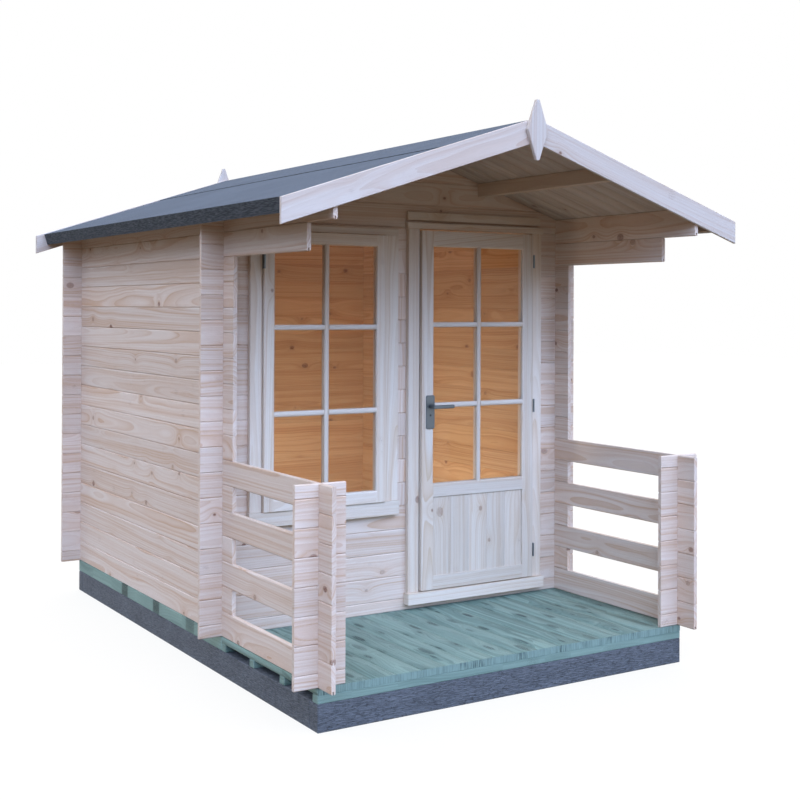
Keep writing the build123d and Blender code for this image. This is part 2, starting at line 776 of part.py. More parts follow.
# Door hinges: a leaf's barrel between two of the post's on one pin, each half with a plate in the reveal
hinge_centre = (leaf_right + hinge_reveal / 2, leaf_front - hinge_radius - hinge_stand)
hinge_bases = [leaf_base + hinge_inset, leaf_base + (leaf_height - hinge_height) / 2]
hinge_bases += [leaf_top - hinge_inset - hinge_height]
barrel_height = hinge_height / 3
post_barrel = barrel_height - hinge_play
with BuildPart() as door_hinge_posts:
    for hinge_base in hinge_bases:
        with BuildSketch(Plane.XY.offset(hinge_base)):
            with Locations(hinge_centre):
                RegularPolygon(hinge_pin_radius, hinge_pin_sides)
        extrude(amount=hinge_height)
        for barrel_base in (hinge_base, hinge_base + 2 * barrel_height + hinge_play):
            knuckle(hinge_centre, barrel_base, post_barrel)
            with Locations((door_right, hinge_centre[1], barrel_base)):
                Box(hinge_plate, hinge_plate_width, post_barrel, align=(Align.MAX, Align.MIN, Align.MIN))
pieces["door_hinge_posts"] = door_hinge_posts

with BuildPart() as door_hinge_leaves:
    for hinge_base in hinge_bases:
        barrel_base = hinge_base + barrel_height
        knuckle(hinge_centre, barrel_base, barrel_height)
        with Locations((leaf_right, hinge_centre[1], barrel_base)):
            Box(hinge_plate, hinge_plate_width, barrel_height, align=(Align.MIN, Align.MIN, Align.MIN))
        with BuildSketch(Plane.XY.offset(barrel_base)):
            with Locations(hinge_centre):
                RegularPolygon(hinge_pin_radius + hinge_play, hinge_pin_sides, major_radius=False)
        extrude(amount=barrel_height, mode=Mode.SUBTRACT)
pieces["door_hinge_leaves"] = door_hinge_leaves

os.makedirs("parts", exist_ok=True)
for label, piece in pieces.items():
    piece.part.label = label
    export_step(piece.part, f"parts/{label}.step")
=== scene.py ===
import random
from math import cos, pi, radians, sin

import bmesh
import bpy
from mathutils import Matrix, Vector


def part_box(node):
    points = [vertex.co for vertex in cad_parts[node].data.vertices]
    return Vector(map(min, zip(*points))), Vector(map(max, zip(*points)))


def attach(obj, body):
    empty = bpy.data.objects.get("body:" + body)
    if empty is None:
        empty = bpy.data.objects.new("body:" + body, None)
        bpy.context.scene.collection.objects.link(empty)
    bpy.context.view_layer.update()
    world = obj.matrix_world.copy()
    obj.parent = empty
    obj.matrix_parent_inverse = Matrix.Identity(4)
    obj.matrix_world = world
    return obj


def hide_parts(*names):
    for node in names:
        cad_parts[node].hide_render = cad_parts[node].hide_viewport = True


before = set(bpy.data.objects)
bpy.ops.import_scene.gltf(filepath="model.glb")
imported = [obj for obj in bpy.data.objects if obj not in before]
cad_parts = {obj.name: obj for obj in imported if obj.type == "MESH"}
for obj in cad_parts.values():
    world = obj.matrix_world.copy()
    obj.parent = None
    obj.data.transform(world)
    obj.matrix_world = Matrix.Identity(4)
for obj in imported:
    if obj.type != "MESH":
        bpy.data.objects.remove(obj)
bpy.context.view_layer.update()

# Plinth: four dark beams on edge that carry the cabin clear of the ground.
# They are slate grey with a rough face, finely rippled along their length.


def feed(tree, socket, value):
    """Links a socket to a value that another node puts out, or else sets the value on it."""
    if isinstance(value, bpy.types.NodeSocket):
        tree.links.new(value, socket)
    else:
        socket.default_value = value


def add_node(tree, kind, options=None, **inputs):
    """Adds a node, sets its options, and feeds its inputs, whose names have _ for spaces."""
    made = tree.nodes.new(kind)
    for option, value in (options or {}).items():
        setattr(made, option, value)
    for label, value in inputs.items():
        feed(tree, made.inputs[label.replace("_", " ")], value)
    return made


def calc(tree, operation, *values):
    """Adds a sum of one to three values and gives its result."""
    made = add_node(tree, "ShaderNodeMath", {"operation": operation})
    for socket, value in zip(made.inputs, values):
        feed(tree, socket, value)
    return made.outputs["Value"]


def stretch(tree, vector, scale):
    """Scales a place by its own amount along each axis."""
    return add_node(tree, "ShaderNodeMapping", Vector=vector, Scale=scale).outputs["Vector"]


def noise(tree, vector, detail=2.0):
    """Soft noise of about one unit's grain."""
    made = add_node(tree, "ShaderNodeTexNoise", Vector=vector, Scale=1.0, Detail=detail, Roughness=0.55)
    return made.outputs["Fac"]


def ramp(tree, value, low, high, to_low=0.0, to_high=1.0):
    """Eases a value from one range into another."""
    made = add_node(tree, "ShaderNodeMapRange", {"interpolation_type": "SMOOTHSTEP"}, Value=value,
                    From_Min=low, From_Max=high, To_Min=to_low, To_Max=to_high)
    return made.outputs["Result"]


def blend(tree, amount, first, second):
    """Mixes two colours by an amount from 0 to 1, on the colour sockets of the mix node."""
    factor, first_colour, second_colour, mixed = 0, 6, 7, 2
    made = add_node(tree, "ShaderNodeMix", {"data_type": "RGBA"})
    for socket, value in ((factor, amount), (first_colour, first), (second_colour, second)):
        feed(tree, made.inputs[socket], value)
    return made.outputs[mixed]


def new_finish(label):
    """Starts a material and gives it with its node tree and its main shader."""
    finish = bpy.data.materials.new(label)
    finish.use_nodes = True
    return finish, finish.node_tree, finish.node_tree.nodes["Principled BSDF"]


def roughen(tree, shader, height, depth):
    """Feeds a height of so many metres of relief into the shader's normal."""
    made = add_node(tree, "ShaderNodeBump", Height=height, Distance=depth, Strength=1.0)
    tree.links.new(made.outputs["Normal"], shader.inputs["Normal"])


def part_boards(bm):
    """Parts a mesh into boards, at its seams and gaps, in the lasting order of their low corners."""
    waiting = set(bm.faces)
    boards = []
    while waiting:
        board = [waiting.pop()]
        for face in board:
            for edge in face.edges:
                if not edge.seam:
                    for other in waiting.intersection(edge.link_faces):
                        waiting.remove(other)
                        board.append(other)
        boards.append(board)

    def low_corner(board):
        """Gives a board's low corner to a tenth of a millimetre."""
        places = [vert.co for face in board for vert in face.verts]
        return tuple(round(min(place[axis] for place in places), 4) for axis in range(3))

    return sorted(boards, key=low_corner)


def note_grain(bm, label, along):
    """Notes the grain of each board on its corners.

    grain holds the place along, across and through the board, and tone a number that is the board's own.
    """
    grain_layer = bm.loops.layers.float_vector.new("grain")
    tone_layer = bm.loops.layers.float.new("tone")
    chance = random.Random(label)
    for board in part_boards(bm):
        edges = {edge for face in board for edge in face.edges}
        points = [vert.co for vert in {vert for face in board for vert in face.verts}]
        longest = max(edges, key=lambda edge: edge.calc_length())
        length_axis = Vector(along) if along else longest.verts[1].co - longest.verts[0].co
        length_axis.normalize()
        if sum(length_axis) < 0:
            length_axis.negate()
        runs_along_y = abs(length_axis.y) > 0.5
        helper = Vector((1, 0, 0)) if runs_along_y else Vector((0, 1, 0))
        width_axis = helper.cross(length_axis).normalized()
        depth_axis = length_axis.cross(width_axis)
        widths = [point.dot(width_axis) for point in points]
        depths = [point.dot(depth_axis) for point in points]
        middle_width = (min(widths) + max(widths)) / 2
        middle_depth = (min(depths) + max(depths)) / 2
        swap = max(depths) - min(depths) > max(widths) - min(widths)
        tone = chance.random()
        for face in board:
            for loop in face.loops:
                across = loop.vert.co.dot(width_axis) - middle_width
                through = loop.vert.co.dot(depth_axis) - middle_depth
                if swap:
                    across, through = through, across
                loop[grain_layer] = (loop.vert.co.dot(length_axis), across, through)
                loop[tone_layer] = tone


def eased_copy(label, nodes, ease, shortest=0.03, saw_cuts=(), along=None, lip=None, level=False, inner=None):
    """Copies CAD nodes as one mesh with its long edges eased, and notes the grain of its boards.

    Saw cuts part a ring into boards, and a lip gives an opening whose front edges get a round mould.
    Level eases only the level edges of upright faces, and so leaves out grooves, tongues and ends. Inner
    tells from an edge's middle whether it lies in the room, where edges are left almost sharp.
    """
    same_place = 1e-6
    near = 1e-4
    flat = radians(0.5)
    corner = radians(25)
    inner_ease = 0.001
    mould_steps = 3

    def rise(of):
        """Gives the height that an edge or a face takes up."""
        heights = [vert.co.z for vert in of.verts]
        return max(heights) - min(heights)

    bm = bmesh.new()
    joined = set()
    for node in nodes:
        bm.from_mesh(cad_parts[node].data)
        fresh = [vert for vert in bm.verts if vert not in joined]
        bmesh.ops.remove_doubles(bm, verts=fresh, dist=same_place)
        joined = set(bm.verts)
    bmesh.ops.dissolve_limit(bm, angle_limit=flat, verts=bm.verts, edges=bm.edges)
    moulded = []
    if lip:
        low, high, mould = lip
        moulded = [edge for edge in bm.edges if all(
            abs(vert.co.y - low.y) < near and low.x - near < vert.co.x < high.x + near
            and low.z - near < vert.co.z < high.z + near for vert in edge.verts)]
    arrises = [edge for edge in bm.edges if edge.is_manifold and edge.is_convex and edge not in moulded
               and edge.calc_length() > shortest and edge.calc_face_angle() > corner
               and not (level and (rise(edge) > near or max(map(rise, edge.link_faces)) < shortest))]
    sheltered = [edge for edge in arrises if inner and inner((edge.verts[0].co + edge.verts[1].co) / 2)]
    arrises = [edge for edge in arrises if edge not in sheltered]
    bmesh.ops.bevel(bm, geom=arrises, offset=ease, segments=1, affect="EDGES", clamp_overlap=False)
    sheltered = [edge for edge in sheltered if edge.is_valid]
    if sheltered:
        bmesh.ops.bevel(bm, geom=sheltered, offset=inner_ease, segments=1, affect="EDGES", clamp_overlap=False)
    if moulded:
        bmesh.ops.bevel(bm, geom=moulded, offset=mould, segments=mould_steps, profile=0.5, affect="EDGES")
    for point, normal in saw_cuts:
        whole = bm.verts[:] + bm.edges[:] + bm.faces[:]
        cut = bmesh.ops.bisect_plane(bm, geom=whole, plane_co=point, plane_no=normal)
        for edge in cut["geom_cut"]:
            if isinstance(edge, bmesh.types.BMEdge):
                edge.seam = True
    note_grain(bm, label, along)
    mesh = bpy.data.meshes.new(label)
    bm.to_mesh(mesh)
    bm.free()
    return mesh


def fit_piece(label, mesh, finish, body, slot, *nodes):
    """Puts a finished mesh on its body, in place of the CAD nodes that it stands for."""
    piece = bpy.data.objects.new(label, mesh)
    bpy.context.scene.collection.objects.link(piece)
    mesh.materials.clear()
    mesh.materials.append(finish)
    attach(piece, body)
    if nodes:
        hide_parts(*nodes)
    return piece


slate_dark = (0.055, 0.062, 0.074, 1)
slate_pale = (0.135, 0.147, 0.168, 1)
slate_pit = (0.025, 0.028, 0.034, 1)
ripple_grain = (30, 30, 170)
patch_grain = (5, 5, 22)
pit_grain = (75, 75, 150)
ripple_share = 0.75
pit_strength = 0.6
ripple_depth = 0.006
plinth_arris = 0.003
plinth_grey, tree, shader = new_finish("plinth_grey")
place = add_node(tree, "ShaderNodeTexCoord").outputs["Object"]
ripple = noise(tree, stretch(tree, place, ripple_grain), detail=4.0)
patch = noise(tree, stretch(tree, place, patch_grain))
tint = calc(tree, "ADD", calc(tree, "MULTIPLY", ripple, ripple_share),
            calc(tree, "MULTIPLY", patch, 1 - ripple_share))
slate = blend(tree, ramp(tree, tint, low=0.3, high=0.72), slate_dark, slate_pale)
pits = ramp(tree, noise(tree, stretch(tree, place, pit_grain), detail=1.0), low=0.58, high=0.68)
slate = blend(tree, calc(tree, "MULTIPLY", pits, pit_strength), slate, slate_pit)
tree.links.new(slate, shader.inputs["Base Color"])
shader.inputs["Roughness"].default_value = 0.75
roughen(tree, shader, ripple, ripple_depth)
plinth_nodes = ["plinth_ends", "plinth_sides"]
fit_piece("plinth_beams", eased_copy("plinth_beams", plinth_nodes, plinth_arris), plinth_grey, "cabin", "plinth",
          *plinth_nodes)

# Floor frame and verandah joists: pressure-treated softwood on the plinth, green from its salts.
# The long bearers show under the side walls, the joists' ends under the edge of the deck.


def scale_vector(tree, vector, amount):
    """Scales a vector or a colour by one amount."""
    made = add_node(tree, "ShaderNodeVectorMath", {"operation": "SCALE"}, Vector=vector, Scale=amount)
    return made.outputs["Vector"]


sawn_grain = bpy.data.node_groups.new("sawn_grain", "ShaderNodeTree")
for socket_label, socket_kind in (("Pale", "Color"), ("Streak", "Color"), ("Late", "Color"), ("Knot", "Color"),
                                  ("Ring", "Float"), ("Knots", "Float"), ("Contrast", "Float"),
                                  ("Crowd", "Float"), ("Drawn", "Float")):
    sawn_grain.interface.new_socket(socket_label, in_out="INPUT", socket_type="NodeSocket" + socket_kind)
for socket_label, socket_kind in (("Color", "Color"), ("Roughness", "Float"), ("Height", "Float")):
    sawn_grain.interface.new_socket(socket_label, in_out="OUTPUT", socket_type="NodeSocket" + socket_kind)
tree = sawn_grain
given = tree.nodes.new("NodeGroupInput").outputs
board_place = add_node(tree, "ShaderNodeAttribute", {"attribute_name": "grain"}).outputs["Vector"]
board_tone = add_node(tree, "ShaderNodeAttribute", {"attribute_name": "tone"}).outputs["Fac"]
parts = add_node(tree, "ShaderNodeSeparateXYZ", Vector=board_place).outputs
dice = add_node(tree, "ShaderNodeTexWhiteNoise", {"noise_dimensions": "1D"}, W=board_tone).outputs["Color"]
throws = add_node(tree, "ShaderNodeSeparateColor", Color=dice).outputs
board_shift = 37.0
run = calc(tree, "MULTIPLY_ADD", board_tone, board_shift, parts["X"])

# Knots stand in cells of the board's face, where a throw of the dice lets them
knots_along = 2.6
knots_across = 7.0
knot_shift = 9.0
knot_least = 0.005
knot_spread = 0.013
cells_along = calc(tree, "MULTIPLY", given["Crowd"], knots_along)
cells_across = calc(tree, "MULTIPLY", given["Crowd"], knots_across)
cell_run = calc(tree, "MULTIPLY", run, cells_along)
cell_across = calc(tree, "MULTIPLY_ADD", parts["Y"], cells_across,
                   calc(tree, "MULTIPLY", throws["Red"], knot_shift))
cell = add_node(tree, "ShaderNodeCombineXYZ", X=cell_run, Y=cell_across).outputs["Vector"]
knots = add_node(tree, "ShaderNodeTexVoronoi", {"voronoi_dimensions": "2D"}, Vector=cell, Scale=1.0).outputs
knot_parts = add_node(tree, "ShaderNodeSeparateXYZ", Vector=knots["Position"]).outputs
knot_dice = add_node(tree, "ShaderNodeSeparateColor", Color=knots["Color"]).outputs
knot_run = calc(tree, "DIVIDE", calc(tree, "SUBTRACT", cell_run, knot_parts["X"]),
                calc(tree, "MULTIPLY", cells_along, given["Drawn"]))
knot_across = calc(tree, "DIVIDE", calc(tree, "SUBTRACT", cell_across, knot_parts["Y"]), cells_across)
knot_far = calc(tree, "SQRT", calc(tree, "ADD", calc(tree, "MULTIPLY", knot_run, knot_run),
                                   calc(tree, "MULTIPLY", knot_across, knot_across)))
knot_here = calc(tree, "LESS_THAN", knot_dice["Green"], given["Knots"])
knot_size = calc(tree, "MULTIPLY_ADD", calc(tree, "POWER", knot_dice["Red"], 2.0), knot_spread, knot_least)

# The pith's line wanders past each board at its own depth and lean, and the rings run round it and the knots
wander_along = 1.1
wander_across = 5.0
wander_aside = 0.022
wander_deep = 0.040
swirl_fade = -38.0
swirl_bulge = 0.034
lean_most = 0.025
pith_aside = 0.12
pith_nearest = 0.035
pith_spread = 0.08
late_edge = 2.2
streak_rings = 75.0
streak_run = 0.6
streak_shift = 91.0
fibre_grain = (16, 420, 420)
flush_grain = (1.6, 9, 9)
wander_place = add_node(tree, "ShaderNodeCombineXYZ", X=calc(tree, "MULTIPLY", run, wander_along),
                        Y=calc(tree, "MULTIPLY", parts["Y"], wander_across),
                        Z=calc(tree, "MULTIPLY", parts["Z"], wander_across))
wander = calc(tree, "SUBTRACT", noise(tree, wander_place.outputs["Vector"]), 0.5)
swirl = calc(tree, "MULTIPLY", knot_here,
             calc(tree, "EXPONENT", calc(tree, "MULTIPLY", knot_far, swirl_fade)))
lean = calc(tree, "MULTIPLY", parts["X"], calc(tree, "MULTIPLY_ADD", throws["Red"], 2 * lean_most, -lean_most))
pith_across = calc(tree, "MULTIPLY_ADD", throws["Green"], -2 * pith_aside, pith_aside)
ring_across = calc(tree, "ADD", parts["Y"], calc(tree, "MULTIPLY_ADD", wander, wander_aside, pith_across))
pith_depth = calc(tree, "MULTIPLY_ADD", throws["Blue"], pith_spread, pith_nearest)
ring_depth = calc(tree, "ADD", calc(tree, "ADD", parts["Z"], pith_depth),
                  calc(tree, "MULTIPLY_ADD", wander, wander_deep, lean))
radius = calc(tree, "SQRT", calc(tree, "ADD", calc(tree, "MULTIPLY", ring_across, ring_across),
                                 calc(tree, "MULTIPLY", ring_depth, ring_depth)))
radius = calc(tree, "MULTIPLY_ADD", swirl, swirl_bulge, radius)
late = calc(tree, "POWER", calc(tree, "FRACT", calc(tree, "DIVIDE", radius, given["Ring"])), late_edge)
streak_place = add_node(tree, "ShaderNodeCombineXYZ", X=calc(tree, "MULTIPLY", radius, streak_rings),
                        Y=calc(tree, "MULTIPLY", run, streak_run),
                        Z=calc(tree, "MULTIPLY", board_tone, streak_shift))
streak = ramp(tree, noise(tree, streak_place.outputs["Vector"]), low=0.40, high=0.66)
fibre = noise(tree, stretch(tree, board_place, fibre_grain))
flush = noise(tree, stretch(tree, board_place, flush_grain))

# Colours: pale early wood, streaks that follow the rings, dark late wood, and knots with a darker rim
late_least = 0.3
late_in_streaks = 0.5
flush_most = 0.35
swirl_tint = 0.55
knot_tint_least = 0.35
knot_tint_spread = 0.6
rim_tint = 0.4
rim_width = 0.003
shade_least = 0.90
shade_spread = 0.14
fibre_shade = 0.16
fibre_relief = 0.6
rough_least = 0.48
rough_spread = 0.25
wood = blend(tree, calc(tree, "MULTIPLY", streak, given["Contrast"]), given["Pale"], given["Streak"])
late_amount = calc(tree, "MULTIPLY", late, calc(tree, "MULTIPLY_ADD", streak, late_in_streaks, late_least))
wood = blend(tree, calc(tree, "MULTIPLY", late_amount, given["Contrast"]), wood, given["Late"])
wood = blend(tree, ramp(tree, flush, low=0.5, high=0.85, to_high=flush_most), wood, given["Streak"])
wood = blend(tree, calc(tree, "MULTIPLY", swirl, swirl_tint), wood, given["Late"])
knot_edge = calc(tree, "SUBTRACT", knot_far, knot_size)
core = ramp(tree, knot_edge, low=-0.003, high=0.001, to_low=1.0, to_high=0.0)
rim = ramp(tree, calc(tree, "ABSOLUTE", knot_edge), low=0.0, high=rim_width, to_low=1.0, to_high=0.0)
knot_amount = calc(tree, "MULTIPLY", calc(tree, "MULTIPLY", knot_here, core),
                   calc(tree, "MULTIPLY_ADD", knot_dice["Blue"], knot_tint_spread, knot_tint_least))
wood = blend(tree, knot_amount, wood, given["Knot"])
knot_rim = calc(tree, "MULTIPLY", knot_here, rim)
wood = blend(tree, calc(tree, "MULTIPLY", knot_rim, rim_tint), wood, given["Knot"])
shade = calc(tree, "MULTIPLY_ADD", throws["Blue"], shade_spread, shade_least)
shade = calc(tree, "ADD", shade, calc(tree, "MULTIPLY_ADD", fibre, fibre_shade, -fibre_shade / 2))
relief = calc(tree, "ADD", calc(tree, "MULTIPLY", fibre, fibre_relief),
              calc(tree, "MULTIPLY", late, 1 - fibre_relief))
given_out = tree.nodes.new("NodeGroupOutput").inputs
tree.links.new(scale_vector(tree, wood, shade), given_out["Color"])
tree.links.new(calc(tree, "MULTIPLY_ADD", fibre, rough_spread, rough_least), given_out["Roughness"])
tree.links.new(relief, given_out["Height"])


def wood_finish(label, pale, streak, late, knot, ring=0.010, knots=0.28, contrast=0.9, relief=0.0006, crowd=1.0,
                drawn=1.3):
    """Makes a wood's material from the shared grain. Crowd packs its knots, drawn lengthens them."""
    finish, tree, shader = new_finish(label)
    grain = add_node(tree, "ShaderNodeGroup", {"node_tree": sawn_grain}, Pale=(*pale, 1), Streak=(*streak, 1),
                     Late=(*late, 1), Knot=(*knot, 1), Ring=ring, Knots=knots, Contrast=contrast, Crowd=crowd,
                     Drawn=drawn)
    tree.links.new(grain.outputs["Color"], shader.inputs["Base Color"])
    tree.links.new(grain.outputs["Roughness"], shader.inputs["Roughness"])
    roughen(tree, shader, grain.outputs["Height"], relief)
    shader.inputs["Specular IOR Level"].default_value = 0.3
    return finish


green_pale = (0.242, 0.342, 0.290)
green_streak = (0.170, 0.260, 0.222)
green_late = (0.094, 0.152, 0.132)
green_knot = (0.026, 0.046, 0.042)
treated_green = wood_finish("treated_green", green_pale, green_streak, green_late, green_knot, knots=0.5, crowd=1.7,
                            drawn=2.8)
frame_arris = 0.003
frame_nodes = ["floor_frame", "deck_joists"]
fit_piece("treated_frame", eased_copy("treated_frame", frame_nodes, frame_arris), treated_green, "cabin",
          "treated_timber", *frame_nodes)

# Verandah deck: treated boards laid front to back, edge to edge, and fixed down to the joists.
# Their sawn ends show along the edge of the deck, hatched upright and stained dark in places.
boards_tree = bpy.data.node_groups.new("laid_boards", "GeometryNodeTree")
boards_tree.interface.new_socket("Geometry", in_out="OUTPUT", socket_type="NodeSocketGeometry")
boards_inputs = {}
for socket_label, socket_kind in (("Count", "Int"), ("First", "Vector"), ("Step", "Vector"), ("Turn", "Vector"),
                                  ("Length", "Float"), ("Width", "Float"), ("Depth", "Float"), ("Ease", "Float"),
                                  ("Seed", "Int"), ("Finish", "Material")):
    made = boards_tree.interface.new_socket(socket_label, in_out="INPUT",
                                            socket_type="NodeSocket" + socket_kind)
    boards_inputs[socket_label] = made.identifier
tree = boards_tree
given = tree.nodes.new("NodeGroupInput").outputs
section = add_node(tree, "GeometryNodeCurvePrimitiveQuadrilateral", Width=given["Width"], Height=given["Depth"])
eased = add_node(tree, "GeometryNodeFilletCurve", {"mode": "POLY"}, Curve=section.outputs["Curve"],
                 Radius=given["Ease"], Count=1)
far_end = add_node(tree, "ShaderNodeCombineXYZ", Z=given["Length"]).outputs["Vector"]
line = add_node(tree, "GeometryNodeCurvePrimitiveLine", End=far_end)
plank = add_node(tree, "GeometryNodeCurveToMesh", Curve=line.outputs["Curve"],
                 Profile_Curve=eased.outputs["Curve"], Fill_Caps=True)
position = add_node(tree, "GeometryNodeInputPosition").outputs["Position"]
spot = add_node(tree, "ShaderNodeSeparateXYZ", Vector=position).outputs
grain_place = add_node(tree, "ShaderNodeCombineXYZ", X=spot["Z"], Y=spot["X"], Z=spot["Y"]).outputs["Vector"]
plank = add_node(tree, "GeometryNodeStoreNamedAttribute", {"data_type": "FLOAT_VECTOR", "domain": "POINT"},
                 Geometry=plank.outputs["Mesh"], Name="grain", Value=grain_place)
row = add_node(tree, "GeometryNodeMeshLine", {"mode": "OFFSET"}, Count=given["Count"],
               Start_Location=given["First"], Offset=given["Step"])
turn = add_node(tree, "FunctionNodeEulerToRotation", Euler=given["Turn"]).outputs["Rotation"]
laid = add_node(tree, "GeometryNodeInstanceOnPoints", Points=row.outputs["Mesh"],
                Instance=plank.outputs["Geometry"], Rotation=turn)
own = add_node(tree, "FunctionNodeRandomValue", {"data_type": "FLOAT"}, Seed=given["Seed"]).outputs[1]
toned = add_node(tree, "GeometryNodeStoreNamedAttribute", {"data_type": "FLOAT", "domain": "INSTANCE"},
                 Geometry=laid.outputs["Instances"], Name="tone", Value=own)
solid = add_node(tree, "GeometryNodeRealizeInstances", Geometry=toned.outputs["Geometry"])
dressed = add_node(tree, "GeometryNodeSetMaterial", Geometry=solid.outputs["Geometry"], Material=given["Finish"])
tree.links.new(dressed.outputs["Geometry"], tree.nodes.new("NodeGroupOutput").inputs["Geometry"])


def lay_boards(label, finish, **sizes):
    """Lays a row of like boards and gives them as a plain mesh. A board's length runs up Z before its turn."""
    maker = bpy.data.objects.new(label, bpy.data.meshes.new(label))
    bpy.context.scene.collection.objects.link(maker)
    modifier = maker.modifiers.new("laid_boards", "NODES")
    modifier.node_group = boards_tree
    for socket_label, value in {**sizes, "Finish": finish}.items():
        modifier[boards_inputs[socket_label]] = value
    made = maker.evaluated_get(bpy.context.evaluated_depsgraph_get())
    mesh = bpy.data.meshes.new_from_object(made)
    bpy.data.objects.remove(maker)
    mesh.name = label
    return mesh


def facing(tree, axis):
    """Gives how far a surface faces along an axis."""
    normal = add_node(tree, "ShaderNodeNewGeometry").outputs["Normal"]
    return add_node(tree, "ShaderNodeSeparateXYZ", Vector=normal).outputs[axis]


deck_pale = (0.275, 0.385, 0.325)
end_dark = (0.055, 0.090, 0.085, 1)
end_mid = (0.150, 0.222, 0.198, 1)
end_pale = (0.215, 0.308, 0.268, 1)
hatch_grain = (280, 1, 14)
end_stain_grain = (7, 1, 9)
deck_green = wood_finish("deck_green", deck_pale, green_streak, green_late, green_knot, ring=0.007, knots=0.5,
                         contrast=1.25, crowd=1.6, drawn=3.4)
tree = deck_green.node_tree
shader = tree.nodes["Principled BSDF"]
along_board = shader.inputs["Base Color"].links[0].from_socket
place = add_node(tree, "ShaderNodeTexCoord").outputs["Object"]
hatch = noise(tree, stretch(tree, place, hatch_grain), detail=3.0)
end_stains = ramp(tree, noise(tree, stretch(tree, place, end_stain_grain)), low=0.5, high=0.68)
sawn_end = blend(tree, ramp(tree, hatch, low=0.36, high=0.60), blend(tree, end_stains, end_mid, end_dark), end_pale)
at_end = ramp(tree, calc(tree, "ABSOLUTE", facing(tree, "Y")), low=0.6, high=0.9)
tree.links.new(blend(tree, at_end, along_board, sawn_end), shader.inputs["Base Color"])
deck_low, deck_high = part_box("verandah_deck")
deck_count = 16
deck_gap = 0.0008
deck_ease = 0.0025
deck_step = (deck_high.x - deck_low.x) / deck_count
deck_middle = (deck_low.z + deck_high.z) / 2
deck_boards = lay_boards("deck_boards", deck_green, Count=deck_count,
                         First=(deck_low.x + deck_step / 2, deck_high.y, deck_middle), Step=(deck_step, 0, 0),
                         Turn=(pi / 2, 0, 0), Length=deck_high.y - deck_low.y, Width=deck_step - deck_gap,
                         Depth=deck_high.z - deck_low.z, Ease=deck_ease, Seed=3)
fit_piece("deck_boards", deck_boards, deck_green, "cabin", "treated_timber", "verandah_deck")

# Cabin floor: planed pine boards from front to back of the room.
# They are tongued together and nailed to the joists of the floor frame.
floor_pine = wood_finish("floor_pine", pale=(0.62, 0.45, 0.30), streak=(0.52, 0.34, 0.20), late=(0.40, 0.23, 0.12),
                         knot=(0.16, 0.07, 0.03))
floor_low, floor_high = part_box("cabin_floor")
floor_count = 20
floor_gap = 0.0012
floor_ease = 0.002
floor_step = (floor_high.x - floor_low.x) / floor_count
floor_middle = (floor_low.z + floor_high.z) / 2
floor_boards = lay_boards("floor_boards", floor_pine, Count=floor_count,
                          First=(floor_low.x + floor_step / 2, floor_high.y, floor_middle),
                          Step=(floor_step, 0, 0), Turn=(pi / 2, 0, 0), Length=floor_high.y - floor_low.y,
                          Width=floor_step - floor_gap, Depth=floor_high.z - floor_low.z, Ease=floor_ease, Seed=8)
fit_piece("floor_boards", floor_boards, floor_pine, "cabin", "pine_boards", "cabin_floor")

# Walls: planed pine logs with tongues and grooves, notched over each other at the corners.
# The outside is bare and pale; inside the walls a golden brown with softer grain is painted on as warm room light.
knot_brown = (0.20, 0.085, 0.055)
# Painted warm room light: golden browns that stand in for the room's warm light on the pine inside
room_light_pale = (0.65, 0.405, 0.215)
room_light_streak = (0.56, 0.305, 0.145)
room_light_late = (0.38, 0.18, 0.07)
room_light_softer = -0.1
half_log = 0.0125
room_mask = bpy.data.node_groups.new("room_mask", "ShaderNodeTree")
room_mask.interface.new_socket("Inside", in_out="OUTPUT", socket_type="NodeSocketFloat")
tree = room_mask
place = add_node(tree, "ShaderNodeTexCoord").outputs["Object"]
parts = add_node(tree, "ShaderNodeSeparateXYZ", Vector=place).outputs
from_middle = calc(tree, "ABSOLUTE", calc(tree, "SUBTRACT", parts["Y"], (floor_low.y + floor_high.y) / 2))
in_depth = calc(tree, "LESS_THAN", from_middle, (floor_high.y - floor_low.y) / 2 + half_log)
in_width = calc(tree, "LESS_THAN", calc(tree, "ABSOLUTE", parts["X"]), floor_high.x + half_log)
tree.links.new(calc(tree, "MULTIPLY", in_depth, in_width), tree.nodes.new("NodeGroupOutput").inputs["Inside"])


def paint_room_light(finish):
    """Paints warm room light on a bare wood: golden brown with softer grain where it is inside the walls."""
    tree = finish.node_tree
    grain = next(made for made in tree.nodes if made.type == "GROUP")
    inside = add_node(tree, "ShaderNodeGroup", {"node_tree": room_mask}).outputs["Inside"]
    for label, inner in (("Pale", room_light_pale), ("Streak", room_light_streak), ("Late", room_light_late)):
        outer = tuple(grain.inputs[label].default_value)
        tree.links.new(blend(tree, inside, outer, (*inner, 1)), grain.inputs[label])
    outer_contrast = grain.inputs["Contrast"].default_value
    tree.links.new(calc(tree, "MULTIPLY_ADD", inside, room_light_softer, outer_contrast), grain.inputs["Contrast"])


def in_room(place):
    """Says whether a place is on the room's side of the logs' middle."""
    return (abs(place.x) < floor_high.x + half_log
            and floor_low.y - half_log < place.y < floor_high.y + half_log)


pine_logs = wood_finish("pine_logs", pale=(0.735, 0.618, 0.53), streak=(0.66, 0.49, 0.378),
                        late=(0.53, 0.312, 0.185), knot=knot_brown, knots=0.42, contrast=1.0)
paint_room_light(pine_logs)
log_arris = 0.004
for label, nodes in (("side_walls", ["left_wall", "right_wall"]), ("rail_posts", ["left_post", "right_post"]),
                     ("front_wall", ["front_wall_below_window", "front_wall_left", "front_wall_between",
                                     "front_wall_right", "front_wall_head"]),
                     ("rear_wall", ["back_wall"]), ("gables", ["front_gable", "back_gable"])):
    logs = eased_copy(label, nodes, log_arris, level=True, inner=in_room)
    fit_piece(label, logs, pine_logs, "cabin", "pine_logs", *nodes)

